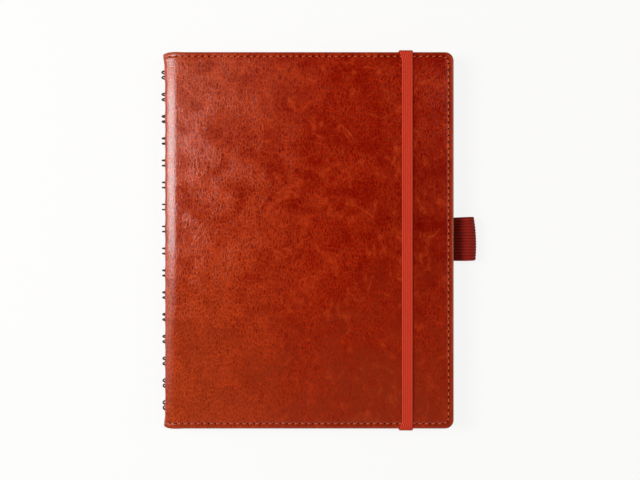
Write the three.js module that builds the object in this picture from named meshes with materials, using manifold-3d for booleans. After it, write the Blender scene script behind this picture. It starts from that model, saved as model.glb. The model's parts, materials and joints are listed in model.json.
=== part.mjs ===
// A closed wire-bound notebook with a wrap-round leather cover, an elastic band and a pen loop.
// Millimetres. It lies on its back cover, whose outer face is at z 0: +Z points out of the front
// cover, +Y to the head, -X to the spine, and x 0 y 0 is the middle of the cover.
import * as THREE from "three";
import { mergeVertices } from "three/addons/utils/BufferGeometryUtils.js";
import Module from "manifold-3d";

const wasm = await Module();
wasm.setup();

// Sheets: A5 with a punched binding margin
const sheetWidth = 156;
const sheetHeight = 210;
const blockThickness = 8.3;
const leafThickness = 0.2;
const leafCount = 4;
const leafGap = 0.1;
const flyleafThickness = 0.25;
const sheetCornerRadius = 3.5;
const holeWidth = 5; // along the spine
const holeMargin = 2.5; // paper between the holes and the inner edge of the sheet
const endMargin = 4; // least paper past the last hole at head and tail
const overhang = 2.5; // cover past the sheets at head, tail and fore-edge

// Cover: leather over a board, with a lining inside
const leatherThickness = 0.6;
const boardThickness = 2.3;
const liningThickness = 0.3;
const coverCornerRadius = 5;
const rimRadius = 0.9; // rounding of the turned leather edge
const liningInset = 0.8;
const boardClearance = 0.15;
const shoulderWidth = 5; // where the cover leather curves up to the fold line
const foldBelowLining = 0.1; // the fold line's height below the inside of the cover
const foldGap = 0.15; // from the fold line to the leather on each side of it
const turnGap = 0.05; // how far the sheets pass over the folded spine leather

// Twin-loop wire
const loopPitch = 12.7;
const twinSpacing = 3;
const wireDiameter = 0.8;
const loopClearance = 0.2; // to the cover leather under and over the loops
const holeClearance = 0.3; // round the wire, in leather and paper
const bridgeClearance = 0.2; // from the spine leather to the straight wire between two loops
const tipSeparation = 1.3; // from that wire to the closed tip of a loop, centre to centre
const bridgeBendRadius = 1;
const wireEndLength = 1.5;
const wireSides = 6;
const loopSteps = 15;

// Elastic band
const bandWidth = 6.3;
const bandThickness = 1;
const bandFromForeEdge = 26.5; // to its middle
const bandClearance = 0.1;
const bandEndGap = 0.3;
const bandRibs = 6;
const bandRibDepth = 0.12;
const anchorLength = 12;
const anchorThickness = 0.4;

// Pen loop
const penLoopWidth = 25;
const penLoopThickness = 0.9;
const penLoopReach = 14.7; // past the fore-edge
const penLoopHeight = 8.9;
const penLoopRibs = 15;
const penLoopRibDepth = 0.2;
const penLoopTab = 10; // inside the back cover
const penLoopLift = 0.3; // from the ground
const penLoopTabGap = 0.05; // around each of the two tabs
const penLoopNeck = 0.6; // straight past the fore-edge, before the strip opens out
const penLoopBow = 1.4; // how much less the loop reaches out at its upper corner
const penLoopBowPlace = 0.15; // the farthest point, as a share of the width below the middle
const penLoopClearance = 0.3;

// Worked out from the sizes above
const coverThickness = leatherThickness + boardThickness + liningThickness;
const pageSlack = leatherThickness + turnGap;
const bookThickness = 2 * (coverThickness + pageSlack) + blockThickness;
const foldHeight = coverThickness - foldBelowLining;
const loopCentreZ = bookThickness / 2;
const loopCentreDepth = loopCentreZ - foldHeight; // as deep as it is high, so the book opens flat
const wireRadius = wireDiameter / 2;
const loopRadius = loopCentreZ - leatherThickness - loopClearance - wireRadius;
const holeNear = Math.sqrt((loopRadius - wireRadius) ** 2 - (blockThickness / 2) ** 2) - holeClearance;
const holeFar = loopRadius + wireRadius + holeClearance;
const sheetInset = holeNear - holeMargin; // from the loop centre to the inner edge of the sheet
const loopCount = 1 + Math.floor((sheetHeight - 2 * endMargin - holeWidth) / loopPitch);
const coverWidth = loopCentreDepth + sheetInset + sheetWidth + overhang;
const coverHeight = sheetHeight + 2 * overhang;
const spineX = -coverWidth / 2;
const foreEdgeX = coverWidth / 2;
const headY = coverHeight / 2;
const loopCentreX = spineX + loopCentreDepth;
const loopProtrusion = loopRadius + wireRadius - loopCentreDepth;
const boardTop = leatherThickness + boardThickness;
const loopReachAtBoard = Math.sqrt(
  (loopRadius + wireRadius) ** 2 - (loopCentreZ - coverThickness) ** 2,
);
const boardStartX = loopCentreX + loopReachAtBoard + holeClearance;
const bandX = foreEdgeX - bandFromForeEdge;
const bandBendRadius = rimRadius + bandClearance;

// Solids

function geometryFrom(positions, triangles) {
  const geometry = new THREE.BufferGeometry();
  geometry.setAttribute("position", new THREE.Float32BufferAttribute(positions, 3));
  geometry.setIndex(triangles);
  return geometry;
}

// A closed solid through rings of points. The caps are cut up as the flat section is.
function loft(rings, section) {
  const count = rings[0].length;
  const positions = rings.flat().flatMap((p) => [p.x, p.y, p.z]);
  const triangles = [];
  for (let r = 0; r + 1 < rings.length; r++) {
    for (let i = 0; i < count; i++) {
      const a = r * count + i;
      const b = r * count + ((i + 1) % count);
      triangles.push(a, b, b + count, a, b + count, a + count);
    }
  }
  const last = (rings.length - 1) * count;
  for (const [a, b, c] of THREE.ShapeUtils.triangulateShape(section, [])) {
    triangles.push(a, c, b);
    triangles.push(last + a, last + b, last + c);
  }
  return geometryFrom(positions, triangles);
}

function solid(geometry) {
  const bare = geometry.clone();
  bare.deleteAttribute("normal");
  bare.deleteAttribute("uv");
  const merged = mergeVertices(bare, 1e-4);
  const mesh = new wasm.Mesh({
    numProp: 3,
    vertProperties: merged.attributes.position.array,
    triVerts: new Uint32Array(merged.index.array),
  });
  return new wasm.Manifold(mesh);
}

function geometryOf(manifold) {
  const mesh = manifold.getMesh();
  return geometryFrom(Array.from(mesh.vertProperties), Array.from(mesh.triVerts));
}

function box(x0, x1, y0, y1, z0, z1) {
  const geometry = new THREE.BoxGeometry(x1 - x0, y1 - y0, z1 - z0);
  return solid(geometry.translate((x0 + x1) / 2, (y0 + y1) / 2, (z0 + z1) / 2));
}

// The same piece on the other cover: mirrored in the middle plane of the closed book.
function onFrontCover(geometry) {
  const mirrored = geometry.clone().scale(1, 1, -1).translate(0, 0, bookThickness);
  const index = mirrored.index.array;
  for (let i = 0; i < index.length; i += 3) {
    [index[i + 1], index[i + 2]] = [index[i + 2], index[i + 1]];
  }
  return mirrored;
}

// A rectangle whose two corners on the fore-edge side are round, anticlockwise.
function foreEdgeOutline(x0, x1, halfHeight, radius) {
  const steps = 6;
  const points = [new THREE.Vector2(x0, -halfHeight)];
  for (const side of [-1, 1]) {
    for (let i = 0; i <= steps; i++) {
      const turn = (Math.PI / 2) * (i / steps) + (side < 0 ? -Math.PI / 2 : 0);
      points.push(
        new THREE.Vector2(
          x1 - radius + radius * Math.cos(turn),
          side * (halfHeight - radius) + radius * Math.sin(turn),
        ),
      );
    }
  }
  points.push(new THREE.Vector2(x0, halfHeight));
  return points;
}

function atHeight(outline, z) {
  return outline.map((p) => new THREE.Vector3(p.x, p.y, z));
}

function slab(outline, z0, z1) {
  return loft([atHeight(outline, z0), atHeight(outline, z1)], outline);
}

function loopY(index) {
  return (index - (loopCount - 1) / 2) * loopPitch;
}

function everyLoop(make) {
  return Array.from({ length: loopCount }, (_, i) => make(loopY(i)));
}

// Covers, each made as the back cover, outer face down

// The leather of one cover from its fold line to the fore-edge: shoulder, face and turned rim.
// The cuts round the wire are given for one loop at y.
function coverLeather(wireCuts) {
  const startX = spineX + shoulderWidth;
  const rimSteps = 2;
  const rings = [];
  for (let i = 0; i <= rimSteps; i++) {
    const turn = (Math.PI / 2) * (i / rimSteps);
    const inset = rimRadius * (1 - Math.sin(turn));
    const outline = foreEdgeOutline(startX, foreEdgeX - inset, headY - inset, coverCornerRadius - inset);
    rings.push(atHeight(outline, rimRadius * (1 - Math.cos(turn))));
  }
  const outline = foreEdgeOutline(startX, foreEdgeX, headY, coverCornerRadius);
  rings.push(atHeight(outline, boardTop));
  const pocket = foreEdgeOutline(
    boardStartX - holeClearance,
    foreEdgeX - leatherThickness,
    headY - leatherThickness,
    coverCornerRadius - leatherThickness,
  );
  return solid(loft(rings, outline))
    .subtract(solid(slab(pocket, leatherThickness, boardTop + 1)))
    .subtract(box(startX - 1, boardStartX, -headY - 1, headY + 1, leatherThickness, boardTop + 1))
    .add(solid(shoulder()))
    .subtract(wasm.Manifold.union(everyLoop(wireCuts).flat()));
}

// The curved leather from the flat face up to the fold line.
function shoulder() {
  const steps = 7;
  const first = Math.asin(foldGap / foldHeight);
  const arc = (width, height) =>
    Array.from({ length: steps + 1 }, (_, i) => {
      const turn = first + (Math.PI / 2 - first) * (i / steps);
      return new THREE.Vector2(
        spineX + shoulderWidth - width * Math.cos(turn),
        foldHeight - height * Math.sin(turn),
      );
    });
  const outer = arc(shoulderWidth, foldHeight);
  const inner = arc(shoulderWidth - leatherThickness, foldHeight - leatherThickness);
  inner[0].y = outer[0].y;
  const profile = [...outer, ...inner.reverse()];
  return alongY(profile, -headY, headY);
}

// A profile of x and z, drawn anticlockwise in that plane, from one y to another.
function alongY(profile, y0, y1) {
  const at = (y) => profile.map((p) => new THREE.Vector3(p.x, y, p.y));
  return loft([at(y1), at(y0)], profile);
}

// Notches for the two wires of a loop, in the leather beside the fold line.
function twinNotches(y, z0, z1) {
  const half = wireRadius + holeClearance;
  return [-twinSpacing / 2, twinSpacing / 2].map((dy) =>
    box(spineX - 1, spineX + loopProtrusion, y + dy - half, y + dy + half, z0, z1),
  );
}

// One wider slot for a whole loop, which its closed tip passes through.
function tipSlot(y, z0, z1) {
  const half = twinSpacing / 2 + wireRadius + holeClearance;
  return box(spineX - 1, spineX + loopProtrusion, y - half, y + half, z0, z1);
}

function penLoopGate(z0, z1) {
  const half = penLoopWidth / 2 + penLoopClearance;
  const inner = foreEdgeX - penLoopTab - 2 * penLoopClearance;
  return box(inner, foreEdgeX + 1, -half, half, z0, z1);
}

// Room for the sewn-in ends of the band, at head and tail.
function anchorRecesses() {
  const half = bandWidth / 2 + bandEndGap;
  const inner = headY - anchorLength - 2 * bandEndGap;
  const z0 = boardTop - anchorThickness - bandClearance;
  return [1, -1].map((side) =>
    box(
      bandX - half,
      bandX + half,
      Math.min(side * inner, side * (headY + 1)),
      Math.max(side * inner, side * (headY + 1)),
      z0,
      boardTop + 1,
    ),
  );
}

function backCoverLeather() {
  return geometryOf(
    coverLeather((y) => tipSlot(y, foldHeight - loopProtrusion, foldHeight + 1))
      .subtract(penLoopGate(leatherThickness, boardTop + 1))
      .subtract(wasm.Manifold.union(anchorRecesses())),
  );
}

function frontCoverLeather() {
  const cuts = (y) => twinNotches(y, foldHeight - loopProtrusion, foldHeight + 1);
  return onFrontCover(geometryOf(coverLeather(cuts)));
}

function board() {
  const inset = leatherThickness + boardClearance;
  const outline = foreEdgeOutline(
    boardStartX,
    foreEdgeX - inset,
    headY - inset,
    coverCornerRadius - inset,
  );
  return slab(outline, leatherThickness, boardTop);
}

function backCoverBoard() {
  return geometryOf(
    solid(board())
      .subtract(penLoopGate(0, boardTop + 1))
      .subtract(wasm.Manifold.union(anchorRecesses())),
  );
}

function lining() {
  const outline = foreEdgeOutline(
    boardStartX,
    foreEdgeX - liningInset,
    headY - liningInset,
    coverCornerRadius - liningInset,
  );
  return slab(outline, boardTop, coverThickness);
}

// Spine

// The flat leather between the two fold lines, notched at both for the wire.
function spineLeather() {
  const low = foldHeight + foldGap;
  const high = bookThickness - low;
  const crossing = Math.sqrt((loopRadius - wireRadius - holeClearance) ** 2 - loopCentreDepth ** 2);
  const panel = box(spineX, spineX + leatherThickness, -headY, headY, low, high);
  const cuts = everyLoop((y) => [
    tipSlot(y, low - 1, loopCentreZ - crossing),
    ...twinNotches(y, loopCentreZ + crossing, high + 1),
  ]).flat();
  return geometryOf(panel.subtract(wasm.Manifold.union(cuts)));
}

// A point on the round of the loops. The angle is from -X, towards the back cover.
function onLoop(angle, y) {
  return new THREE.Vector3(
    loopCentreX - loopRadius * Math.cos(angle),
    y,
    loopCentreZ - loopRadius * Math.sin(angle),
  );
}

// The wire's centreline: a straight bridge, up round the loop, a closed tip, back round the loop
// and on to the next bridge.
function wireRoute() {
  const bridge = Math.acos((loopCentreDepth + wireRadius + bridgeClearance) / loopRadius);
  const tip = bridge + tipSeparation / loopRadius;
  const half = twinSpacing / 2;
  const bend = bridgeBendRadius / loopRadius;
  const tipCentre = tip + half / loopRadius - 2 * Math.PI;
  const bendSteps = 3;
  const tipSteps = 6;
  const route = [onLoop(bridge, loopY(0) - half - wireEndLength)];
  for (let k = 0; k < loopCount; k++) {
    const y = loopY(k);
    for (let i = 0; i <= bendSteps; i++) {
      const turn = (Math.PI / 2) * (i / bendSteps);
      const across = half + bridgeBendRadius * (1 - Math.sin(turn));
      route.push(onLoop(bridge - bend * (1 - Math.cos(turn)), y - across));
    }
    for (let i = 1; i < loopSteps; i++) {
      const share = i / loopSteps;
      route.push(onLoop(THREE.MathUtils.lerp(bridge - bend, tipCentre, share), y - half));
    }
    for (let i = 0; i <= tipSteps; i++) {
      const turn = Math.PI * (i / tipSteps);
      route.push(onLoop(tipCentre - (half / loopRadius) * Math.sin(turn), y - half * Math.cos(turn)));
    }
    for (let i = loopSteps - 1; i >= 1; i--) {
      const share = i / loopSteps;
      route.push(onLoop(THREE.MathUtils.lerp(bridge - bend, tipCentre, share), y + half));
    }
    for (let i = bendSteps; i >= 0; i--) {
      const turn = (Math.PI / 2) * (i / bendSteps);
      const across = half + bridgeBendRadius * (1 - Math.sin(turn));
      route.push(onLoop(bridge - bend * (1 - Math.cos(turn)), y + across));
    }
  }
  route.push(onLoop(bridge, loopY(loopCount - 1) + half + wireEndLength));
  return route;
}

// A round tube on a route, its sides carried along without twist.
function tube(route, radius, sides) {
  const section = Array.from({ length: sides }, (_, i) => {
    const turn = (2 * Math.PI * i) / sides;
    return new THREE.Vector2(Math.cos(turn), Math.sin(turn)).multiplyScalar(radius);
  });
  const direction = (i) =>
    new THREE.Vector3().subVectors(
      route[Math.min(i + 1, route.length - 1)],
      route[Math.max(i - 1, 0)],
    ).normalize();
  let side = new THREE.Vector3(0, 0, 1).cross(direction(0)).normalize();
  const rings = route.map((point, i) => {
    const along = direction(i);
    side = side.clone().addScaledVector(along, -side.dot(along)).normalize();
    const up = new THREE.Vector3().crossVectors(along, side);
    return section.map((s) => point.clone().addScaledVector(side, s.x).addScaledVector(up, s.y));
  });
  return loft(rings, section);
}

// The least gap between stretches of one wire that are further apart along it than their gap.
function leastGap(route, diameter) {
  const along = [0];
  for (let i = 1; i < route.length; i++) {
    along.push(along[i - 1] + route[i].distanceTo(route[i - 1]));
  }
  let least = Infinity;
  for (let i = 0; i < route.length; i++) {
    for (let j = i + 1; j < route.length; j++) {
      if (along[j] - along[i] > 4 * diameter + twinSpacing) {
        least = Math.min(least, route[i].distanceTo(route[j]));
      }
    }
  }
  return least - diameter;
}

function bindingWire() {
  const route = wireRoute();
  console.log("least gap of the wire to itself: " + leastGap(route, wireDiameter).toFixed(2) + " mm");
  return tube(route, wireRadius, wireSides);
}

// Sheets

// Punched paper between two heights above the middle of the block.
function paper(low, high) {
  const outline = foreEdgeOutline(
    loopCentreX + sheetInset,
    foreEdgeX - overhang,
    sheetHeight / 2,
    sheetCornerRadius,
  );
  const shape = new THREE.Shape(outline);
  everyLoop((y) => {
    const x0 = loopCentreX + holeNear;
    const x1 = loopCentreX + holeFar;
    const corners = [
      new THREE.Vector2(x0, y - holeWidth / 2),
      new THREE.Vector2(x0, y + holeWidth / 2),
      new THREE.Vector2(x1, y + holeWidth / 2),
      new THREE.Vector2(x1, y - holeWidth / 2),
    ];
    shape.holes.push(new THREE.Path(corners));
  });
  const geometry = new THREE.ExtrudeGeometry(shape, { depth: high - low, bevelEnabled: false });
  return geometry.translate(0, 0, loopCentreZ + low);
}

// Webbing

// Flat webbing, ribbed lengthwise on its outer face. Each station has a point on the inner face and
// the direction outwards; across is the direction of its width.
function webbing(stations, across, width, thickness, ribs, ribDepth, shift = () => 0) {
  const section = [new THREE.Vector2(-width / 2, 0)];
  for (let i = 0; i <= 2 * ribs; i++) {
    const depth = i % 2 === 0 ? ribDepth : 0;
    section.push(new THREE.Vector2(width * (i / (2 * ribs) - 0.5), thickness - depth));
  }
  section.push(new THREE.Vector2(width / 2, 0));
  section.reverse();
  const rings = stations.map(({ point, outwards }) =>
    section.map((s) => {
      const placed = point.clone().addScaledVector(across, s.x).addScaledVector(outwards, s.y);
      placed.x += shift(point, s.x);
      return placed;
    }),
  );
  return loft(rings, section);
}

// From the head, where it comes out of the back cover, over the front cover and down at the tail.
function elasticBand() {
  const startZ = boardTop - anchorThickness;
  const sideY = headY + bandClearance;
  const topZ = bookThickness + bandClearance;
  const bendSteps = 4;
  const stations = [];
  const add = (y, z, turn) =>
    stations.push({
      point: new THREE.Vector3(bandX, y, z),
      outwards: new THREE.Vector3(0, Math.cos(turn), Math.sin(turn)),
    });
  add(sideY, startZ, 0);
  for (let i = 0; i <= 2 * bendSteps + 1; i++) {
    const side = i <= bendSteps ? 1 : -1;
    const step = i <= bendSteps ? i : i - 1;
    const turn = (Math.PI / 2) * (step / bendSteps);
    add(
      side * (sideY - bandBendRadius) + bandBendRadius * Math.cos(turn),
      topZ - bandBendRadius + bandBendRadius * Math.sin(turn),
      turn,
    );
  }
  add(-sideY, startZ, Math.PI);
  return webbing(stations, new THREE.Vector3(1, 0, 0), bandWidth, bandThickness, bandRibs, bandRibDepth);
}

function elasticAnchor(side) {
  const outer = side * (headY + bandClearance - bandEndGap);
  const inner = side * (headY - anchorLength);
  const low = boardTop - anchorThickness;
  return geometryOf(
    box(
      bandX - bandWidth / 2,
      bandX + bandWidth / 2,
      Math.min(inner, outer),
      Math.max(inner, outer),
      low,
      boardTop,
    ),
  );
}

const quarterArcPull = 0.55; // share of the radius at which a cubic curve draws a quarter circle

// One strip of webbing: in under the lining, out through the fore-edge, round and back in.
function penLoop() {
  const tabX = foreEdgeX - penLoopTab;
  const neckX = foreEdgeX + penLoopNeck;
  const lowZ = leatherThickness + penLoopThickness + penLoopTabGap;
  const highZ = lowZ + 2 * penLoopTabGap;
  const noseX = foreEdgeX + penLoopReach - penLoopThickness;
  const bellyZ = penLoopLift + penLoopThickness;
  const crownZ = penLoopLift + penLoopHeight - penLoopThickness;
  const midZ = (bellyZ + crownZ) / 2;
  const radius = (crownZ - bellyZ) / 2;
  const pull = radius * quarterArcPull;
  const at = (x, z) => new THREE.Vector3(x, 0, z);
  const path = new THREE.CurvePath();
  const line = (a, b) => path.add(new THREE.LineCurve3(a, b));
  const curve = (...points) => path.add(new THREE.CubicBezierCurve3(...points));
  const belly = at(noseX - radius, bellyZ);
  const nose = at(noseX, midZ);
  const crown = at(noseX - radius, crownZ);
  line(at(tabX, lowZ), at(neckX, lowZ));
  curve(at(neckX, lowZ), at(neckX + 1.5, lowZ), at(belly.x - 3, bellyZ), belly);
  curve(belly, at(belly.x + pull, bellyZ), at(noseX, midZ - pull), nose);
  curve(nose, at(noseX, midZ + pull), at(crown.x + pull, crownZ), crown);
  curve(crown, at(crown.x - 4.5, crownZ), at(neckX + 2, highZ), at(neckX, highZ));
  line(at(neckX, highZ), at(tabX, highZ));
  const stations = [];
  const stepsOf = [1, 4, 4, 4, 6, 1];
  path.curves.forEach((part, c) => {
    for (let i = c === 0 ? 0 : 1; i <= stepsOf[c]; i++) {
      const tangent = part.getTangent(i / stepsOf[c]);
      stations.push({
        point: part.getPoint(i / stepsOf[c]),
        outwards: new THREE.Vector3(tangent.z, 0, -tangent.x),
      });
    }
  });
  const bowAt = (point, across) => {
    const opened = Math.max((point.x - neckX) / (noseX - neckX), 0);
    const fromFarthest = (across / penLoopWidth - penLoopBowPlace) / (0.5 + penLoopBowPlace);
    return -penLoopBow * opened * fromFarthest ** 2;
  };
  return webbing(
    stations,
    new THREE.Vector3(0, -1, 0),
    penLoopWidth,
    penLoopThickness,
    penLoopRibs,
    penLoopRibDepth,
    bowAt,
  );
}

// Assembly

const finishes = {
  leather: { color: 0x9a3418, roughness: 0.45 },
  board: { color: 0x8d8a84, roughness: 0.9 },
  lining: { color: 0x3a1f18, roughness: 0.8 },
  paper: { color: 0xf1ead8, roughness: 0.9 },
  wire: { color: 0x33322f, roughness: 0.35, metalness: 0.8 },
  elastic: { color: 0xb5301f, roughness: 0.85 },
  webbing: { color: 0x5a1512, roughness: 0.9 },
};

const notebook = new THREE.Group();
notebook.name = "wire_bound_notebook";

function add(name, geometry, finish) {
  const mesh = new THREE.Mesh(geometry, new THREE.MeshStandardMaterial(finishes[finish]));
  mesh.name = name;
  notebook.add(mesh);
}

const leavesHalf = (leafCount * leafThickness + (leafCount - 1) * leafGap) / 2;
const stackInner = leavesHalf + leafGap;
const stackOuter = blockThickness / 2 - flyleafThickness;

add("back_cover_leather", backCoverLeather(), "leather");
add("back_cover_board", backCoverBoard(), "board");
add("back_cover_lining", lining(), "lining");
add("pen_loop", penLoop(), "webbing");
add("elastic_anchor_top", elasticAnchor(1), "elastic");
add("elastic_anchor_bottom", elasticAnchor(-1), "elastic");
add("spine_leather", spineLeather(), "leather");
add("binding_wire", bindingWire(), "wire");
add("front_cover_leather", frontCoverLeather(), "leather");
add("front_cover_board", onFrontCover(board()), "board");
add("front_cover_lining", onFrontCover(lining()), "lining");
add("front_flyleaf", paper(stackOuter, blockThickness / 2), "paper");
add("front_sheets", paper(stackInner, stackOuter), "paper");
for (let i = 0; i < leafCount; i++) {
  const top = leavesHalf - i * (leafThickness + leafGap);
  add("leaf_" + (i + 1), paper(top - leafThickness, top), "paper");
}
add("back_sheets", paper(-stackOuter, -stackInner), "paper");
add("back_flyleaf", paper(-blockThickness / 2, -stackOuter), "paper");
add("elastic_band", elasticBand(), "elastic");

export default notebook;
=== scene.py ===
import json
import math
import bpy
import numpy as np
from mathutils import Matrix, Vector


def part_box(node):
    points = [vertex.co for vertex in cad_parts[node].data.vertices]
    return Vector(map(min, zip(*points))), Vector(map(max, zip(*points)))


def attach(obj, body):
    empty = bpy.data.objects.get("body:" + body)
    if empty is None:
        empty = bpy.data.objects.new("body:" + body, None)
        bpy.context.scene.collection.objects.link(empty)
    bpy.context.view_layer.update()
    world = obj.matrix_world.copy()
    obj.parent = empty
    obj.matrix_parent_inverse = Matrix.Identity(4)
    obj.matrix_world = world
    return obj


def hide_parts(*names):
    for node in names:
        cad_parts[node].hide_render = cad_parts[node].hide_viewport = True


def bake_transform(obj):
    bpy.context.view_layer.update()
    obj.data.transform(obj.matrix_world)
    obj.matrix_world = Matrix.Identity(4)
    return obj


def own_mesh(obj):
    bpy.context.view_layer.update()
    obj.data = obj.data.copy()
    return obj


# A closed wire-bound notebook in a leather wrap, seen from straight above. Metres, in the CAD frame.
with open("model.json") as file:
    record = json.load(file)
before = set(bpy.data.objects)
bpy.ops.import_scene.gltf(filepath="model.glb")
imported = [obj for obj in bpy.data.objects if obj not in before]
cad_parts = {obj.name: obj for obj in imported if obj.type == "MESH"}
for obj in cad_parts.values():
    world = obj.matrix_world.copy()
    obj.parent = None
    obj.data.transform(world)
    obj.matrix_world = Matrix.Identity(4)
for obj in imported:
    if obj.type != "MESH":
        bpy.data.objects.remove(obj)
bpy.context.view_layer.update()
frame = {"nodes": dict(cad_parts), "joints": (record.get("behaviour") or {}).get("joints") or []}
MM = 0.001


def joint_point(name):
    return next(Vector(j["pos_m"]) for j in frame["joints"] if j["name"] == name)


# Sizes and places that the frame gives
cover_low, cover_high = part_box("front_cover_leather")
SPINE_X, FORE_EDGE_X = cover_low.x, cover_high.x
HEAD_Y = cover_high.y
TOP_Z = cover_high.z
MIDDLE_Z = TOP_Z / 2
COVER_DEPTH = TOP_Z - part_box("front_cover_lining")[1].z
BOARD_START_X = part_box("front_cover_board")[0].x
LOOP_CENTRE = joint_point("front_pages_turn")
wire_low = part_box("binding_wire")[0]
band_low, band_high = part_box("elastic_band")
pen_low, pen_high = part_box("pen_loop")

# Leather: its outline and section
CORNER_RADIUS = 5 * MM
RIM, RIM_STEPS = 0.9 * MM, 5
RIM_LIFT, RIM_TUCK = 0.4, 0.65  # where the rim turns in below, as shares of its drop and its reach
SPINE_ROUND, SPINE_STEPS = 7.9 * MM, 36  # how far in from the spine the leather starts to curve down
# Share of the way from the flat cover to the middle of the spine, and how steep the leather is there
SPINE_TILTS = ((0, 0), (0.3, 11.5), (0.47, 17), (0.56, 50), (0.65, 82), (0.8, 87), (1, 90))
SPINE_LEATHER = 0.3 * MM  # pared thin, so that the open cover clears the pages
LINING_OVERLAP = 0.05 * MM
FLAT_STEPS, UPRIGHT_STEPS = 44, 120
EDGE_INSETS = [x * MM for x in (4.2, 3.6, 3.3, 3.0, 2.7, 2.4, 1.9, 1.4, 0.9)]  # closer rows at the edges

# Leather: its seam, and the small forms of the spine with how far each reaches from its end
SEAM_INSET = 3 * MM
HEAD_SEAM_SHIFT = 0.5 * MM  # the seam is nearer to the edge at the head
SEAM_DEPTH, SEAM_WIDTH = 0.1 * MM, 0.45 * MM
HEAD_FLARE, HEAD_FLARE_LENGTH = 1.25 * MM, 8 * MM  # the ends of the spine stand out
TAIL_FLARE, TAIL_FLARE_LENGTH = 0.8 * MM, 4 * MM
WAVE = 0.15 * MM  # the leather stands out at each pair of wires
HEAD_ROLL, HEAD_ROLL_LENGTH = 0.7 * MM, 3.6 * MM  # the head of the spine is pressed down
HEAD_PULL, HEAD_PULL_LENGTH = 1.5 * MM, 5 * MM  # and pulled in at its corner
TAIL_PULL, TAIL_PULL_LENGTH = 1.6 * MM, 3.2 * MM  # the corner at the tail is rounded

# Leather: its tones. A ramp goes from a noise's value to a colour
CLOUD_RAMP = ((0.34, "#800501"), (0.50, "#870701"), (0.66, "#930e02"))
PATCH_RAMP = ((0.36, "#7c0400"), (0.50, "#8f0901"), (0.66, "#a61a05"))
PATCH_SHARE = 0.36
CALM = 0.62  # how lively the calm leather near the tail is, where 1 is the rest
# The calm tone near the tail is the leather's tone with painted sheen in it.
CALM_TONE_WITH_SHEEN, PORE_TONE, GRAIN_TONE = "#98371a", "#6e0400", "#620000"
# The net's tone at the spine is lighter and more orange: partly painted sheen.
NET_TONE, NET_TONE_AND_SHEEN_AT_SPINE = "#c62402", "#ee6022"
CREASE_TONE, WRINKLE_TONE, RUBBED_TONE = "#c8451a", "#d44a1d", "#a53e17"
# Dark places: how far from the middle of the spine, how high, and the reach both ways, in millimetres
MIDDLE_SHADE, MIDDLE_SHADE_TONE = (104, 18, 66, 88), "#780200"
FORE_EDGE_SHADE, FORE_EDGE_SHADE_TONE = (152, 12, 36, 66), "#730100"

# Thread
STITCH_PITCH = 3.75 * MM
STITCH_HOLE_RADIUS, STITCH_HOLE_LIFT = 0.46 * MM, 0.1 * MM
CORNER_CUT, CORNER_RISE = 3 * MM, 4.1 * MM  # from the seam's corner to the next hole along and upright
CORNER_HOLE = (0.2 * MM, 0.8 * MM)  # how far inside the seam's corner its own hole is
THREAD_RADIUS = 0.27 * MM
THREAD_SLANT = 0.14 * MM
THREAD_RISE, THREAD_SINK = 0.16 * MM, 0.02 * MM  # a stitch stands up in the middle and dips at its ends
THREAD_START, THREAD_SHARE = 0.14, 0.54  # as shares of the way from one hole to the next
THREAD_STEPS = 7

# Wire
WIRE_RADIUS = 0.4 * MM
WIRE_COAT = 0.06 * MM
WIRE_SIDES = 10
LOOP_RADIUS = LOOP_CENTRE.x - wire_low.x - WIRE_RADIUS
LOOP_PITCH = 12.7 * MM
TWIN_SPACING = 3 * MM
LOOP_COUNT = 16
BRIDGE_CLEARANCE = 0.2 * MM
TIP_SEPARATION = 1.3 * MM
BRIDGE_BEND = 1 * MM
WIRE_END = 1.5 * MM
WIRE_STRETCH = 0.2  # how much farther the loops at the head stand out, and how much less at the tail
WIRE_SLANT = 0.07  # how far the loops at head and tail lean out of the upright, as a slope
FRONT_SLIT, BACK_SLIT = (0.95 * MM, 0.62 * MM), (1.1 * MM, 2.3 * MM)  # half length and half width
SLIT_LIFT = 0.04 * MM

# Band
BAND_THICKNESS = 1 * MM
BAND_GAP = 0.1 * MM  # between the band and the cover
BAND_LEAN, BAND_LEAN_LENGTH = 1.7 * MM, 1.3 * MM  # round the edge it spreads towards the spine
BAND_RIBS, BAND_RIB_DEPTH = 6, 0.06 * MM

# Pen loop
PEN_THICKNESS = 0.9 * MM
PEN_TAB = 3 * MM  # how far the strip goes on inside the cover's edge
PEN_NECK = 0.6 * MM  # how far outside that edge the loop starts to open
PEN_TAB_Z, PEN_TAB_GAP = 1.55 * MM, 0.1 * MM
PEN_BELLY_Z = 0.3 * MM
PEN_BOW = 1.4 * MM
PEN_BOW_PLACE = 0.15  # share of the width below the middle
PEN_SPREAD = 0.3 * MM  # the webbing is this much wider than its solid, towards the head
PEN_LEAN = 0.55 * MM  # how far the nose is nearer to the head than the neck
PEN_RIBS, PEN_RIB_DEPTH = 15, 0.28 * MM

# Camera: straight above, with the photograph's frame moved down by a shift
IMAGE_WIDTH = 640
FOCAL_PX = 912
SENSOR_WIDTH = 36
NEAR_CLIP = 0.01
AXIS_X, AXIS_Y = 6.4 * MM, 17.9 * MM
CAMERA_HEIGHT = 520 * MM  # above the front cover
AXIS_ROW, MIDDLE_ROW = 209, 240

# Floor and room. A fade is between two heights of the direction, where 0 is level and 1 is straight up
FLOOR_SIZE, FLOOR_Z = 6, -0.35 * MM
FLOOR_WHITE = 0.86  # how much of what is seen of the floor is plain white
ROOM_FADE, ROOM_STRENGTH, OVERHEAD_STRENGTH = (0.55, 0.92), 0.5, 0.02
BACKDROP_FADE, BACKDROP_WHITE = (0.09, 0.16), 0.93
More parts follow.
